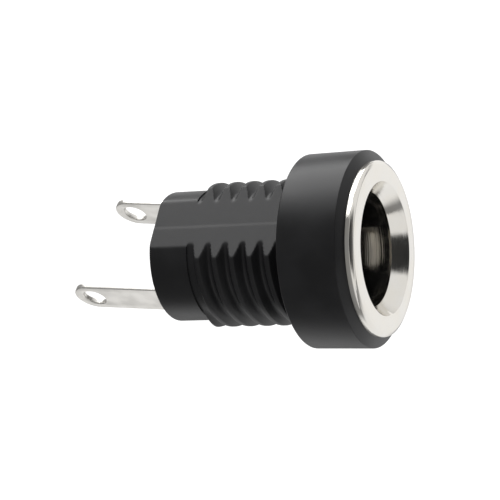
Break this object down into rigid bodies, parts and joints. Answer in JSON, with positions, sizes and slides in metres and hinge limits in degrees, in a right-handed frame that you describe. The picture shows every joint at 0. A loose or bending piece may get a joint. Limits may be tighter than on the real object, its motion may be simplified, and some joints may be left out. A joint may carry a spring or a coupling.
{
  "type": "dc barrel jack",
  "caption": "Panel-mount DC barrel jack: black flanged and threaded body with two long flats, satin nickel mouth ring, centre pin and rear solder lugs.",
  "frame": {"origin": "on the jack's axis, in the plane of the flange face that meets the panel", "axes": "+X along the axis, out of the mouth; +Z square to the two flats of the threaded shank; the solder lugs stand at +Y and -Y"},
  "size_m": [0.0178, 0.0104, 0.0104],
  "materials": {
    "black_plastic": "satin moulded black, fine grain",
    "satin_nickel": "satin nickel plate over turned brass",
    "block_plastic": "moulded black",
    "pin_nickel": "nickel plate over turned brass",
    "terminal_nickel": "bright nickel plate over stamped brass strip"
  },
  "bodies": {
    "root": {"housing": "black_plastic", "front_ring": "satin_nickel", "rear_block": "block_plastic", "centre_pin": "pin_nickel", "pin_terminal": "terminal_nickel", "sleeve_contact": "terminal_nickel"}
  },
  "joints": []
}
